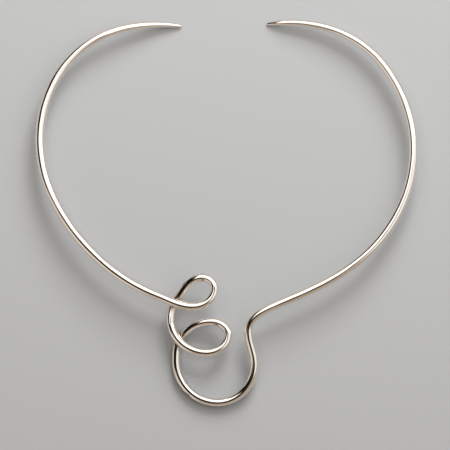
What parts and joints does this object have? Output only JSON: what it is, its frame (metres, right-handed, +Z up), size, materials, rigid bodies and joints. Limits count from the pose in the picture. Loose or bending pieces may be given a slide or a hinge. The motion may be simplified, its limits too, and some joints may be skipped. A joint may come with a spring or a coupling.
{
  "type": "silver torc",
  "caption": "Open neck ring of polished round silver rod with thin rounded terminals, its front bent into small loops and a hanging bowl. It lies flat when loose.",
  "frame": {"origin": "under the middle of the torc's box, on the surface that it lies on", "axes": "+Z up from the surface, +Y towards the terminals, +X towards the right arm seen from above"},
  "size_m": [0.1412, 0.1432, 0.0098],
  "materials": {
    "polished_silver": "mirror polished"
  },
  "bodies": {
    "root": {"torc": "polished_silver"}
  },
  "joints": []
}
